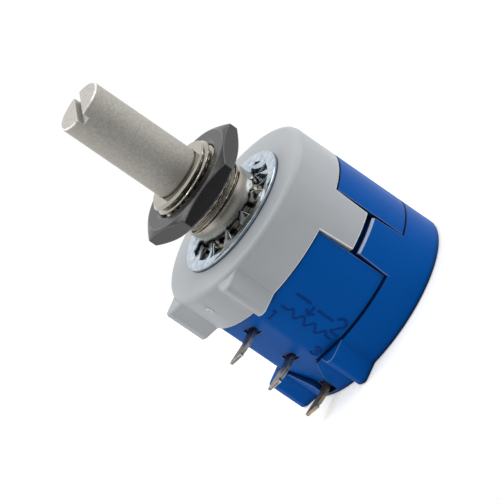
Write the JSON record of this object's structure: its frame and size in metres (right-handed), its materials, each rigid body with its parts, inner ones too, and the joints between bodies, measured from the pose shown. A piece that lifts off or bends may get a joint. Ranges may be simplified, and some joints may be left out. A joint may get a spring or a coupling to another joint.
{
  "type": "ten-turn panel potentiometer",
  "caption": "Round multi-turn wirewound potentiometer with a threaded bushing, slotted shaft, panel nut, lock washer and side terminals.",
  "frame": {"origin": "on the shaft's axis, in the lid's front face, which seats behind the panel", "axes": "+Z out along the shaft; the three terminals point to -Y; +X completes the right-handed frame"},
  "size_m": [0.0222, 0.0257, 0.0397],
  "materials": {
    "grey_plastic": "moulded light grey, fine satin",
    "blue_plastic": "moulded deep blue, soft gloss",
    "nickel_plated_brass": "bright nickel plate over turned brass",
    "satin_steel": "centreless ground, satin",
    "seal_rubber": "black nitrile",
    "bronze": "rolled phosphor bronze",
    "spring_steel": "plain spring steel",
    "black_oxide_steel": "black finish on steel, satin",
    "zinc_plated_steel": "bright zinc plate",
    "resistance_wire": "fine wire wound on an insulated rod",
    "contact_brass": "rolled brass",
    "rotor_plastic": "black glass-filled nylon",
    "carriage_plastic": "natural acetal",
    "tinned_brass": "tin plate over stamped brass"
  },
  "bodies": {
    "case": {"front_lid": "grey_plastic", "housing": "blue_plastic", "rear_cover": "blue_plastic", "bushing": "nickel_plated_brass", "resistance_element": "resistance_wire", "element_lead_front": "bronze", "element_lead_rear": "bronze", "collector_lead": "bronze", "collector_ring": "contact_brass", "terminal_1": "tinned_brass", "terminal_2": "tinned_brass", "terminal_3": "tinned_brass"},
    "spindle": {"shaft": "satin_steel", "shaft_seal": "seal_rubber", "thrust_washer": "bronze", "retaining_ring": "spring_steel", "rotor": "rotor_plastic", "contact_rail": "contact_brass", "collector_brush": "contact_brass"},
    "carriage": {"wiper_carriage": "carriage_plastic", "wiper_contact": "contact_brass"},
    "nut": {"panel_nut": "black_oxide_steel"},
    "washer": {"lock_washer": "zinc_plated_steel"}
  },
  "joints": [
    {"name": "shaft_turn", "type": "hinge", "parent": "case", "child": "spindle", "pos_m": [0, 0, 0], "axis": [0, 0, 1], "range_deg": [-1800, 1800]},
    {"name": "carriage_travel", "type": "slide", "parent": "spindle", "child": "carriage", "axis": [0, 0, 1], "range_m": [-0.00476, 0.00476]},
    {"name": "nut_travel", "type": "slide", "parent": "case", "child": "nut", "axis": [0, 0, 1], "range_m": [-0.0033, 0.00105]},
    {"name": "washer_turn", "type": "hinge", "parent": "case", "child": "washer", "pos_m": [0, 0, 0], "axis": [0, 0, 1], "continuous": true}
  ],
  "couplings": [
    {"joint": "carriage_travel", "follows": "shaft_turn", "m_per_rad": 0.0001512}
  ]
}
